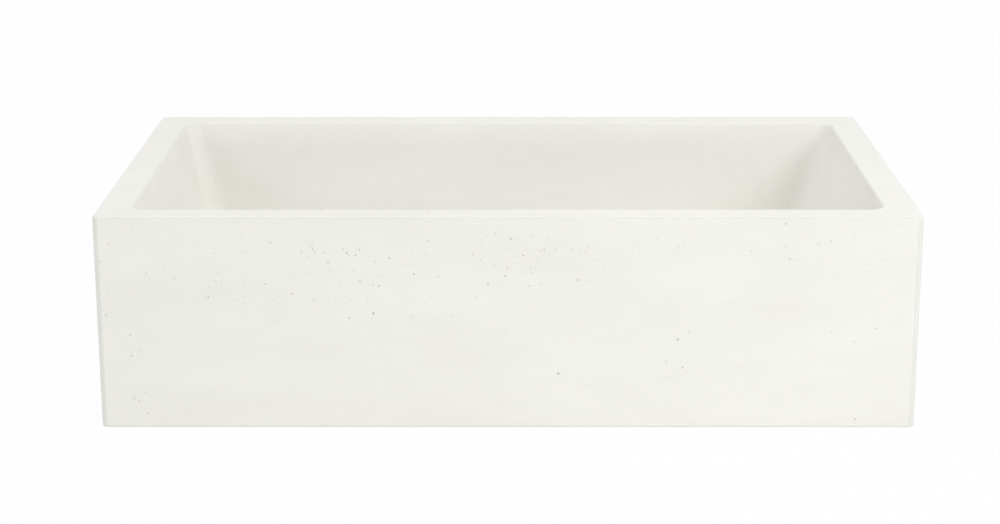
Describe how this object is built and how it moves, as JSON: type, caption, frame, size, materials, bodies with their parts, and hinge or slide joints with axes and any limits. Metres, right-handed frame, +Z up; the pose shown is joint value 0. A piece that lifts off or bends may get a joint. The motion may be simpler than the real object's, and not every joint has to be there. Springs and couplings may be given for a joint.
{
  "type": "countertop basin",
  "caption": "Rectangular trough basin cast in pale concrete, with a flat rim, leaning bowl walls and a push-open waste whose domed plug rises on a spring.",
  "frame": {"origin": "middle of the base, on the surface that the basin stands on", "axes": "+X along the long side to the right, -Y to the front, +Z up"},
  "size_m": [0.6, 0.35, 0.16],
  "materials": {
    "concrete": "matte, cast, with pinholes",
    "chrome": "polished plate",
    "brass": "turned",
    "rubber": "moulded, matte",
    "foam": "soft foam",
    "white_plastic": "moulded",
    "moulded_plastic": "moulded",
    "spring_steel": "drawn wire"
  },
  "bodies": {
    "basin": {"basin_body": "concrete", "flange_gasket": "foam", "waste_body": "chrome", "taper_washer": "rubber", "slip_washer": "white_plastic", "back_nut": "brass", "cartridge_barrel": "brass", "stem_seal": "rubber", "end_plug": "brass", "cartridge_spring": "spring_steel"},
    "plug": {"plug_cover": "chrome", "plug_carrier": "moulded_plastic", "plug_seal": "rubber", "lock_nut": "brass", "push_stem": "brass", "index_cam": "white_plastic"}
  },
  "joints": [
    {"name": "plug_lift", "type": "slide", "parent": "basin", "child": "plug", "axis": [0, 0, 1], "range_m": [-0.009, 0], "stiffness_N_per_m": 900, "springref_m": 0.008, "deforming": ["cartridge_spring"]}
  ]
}
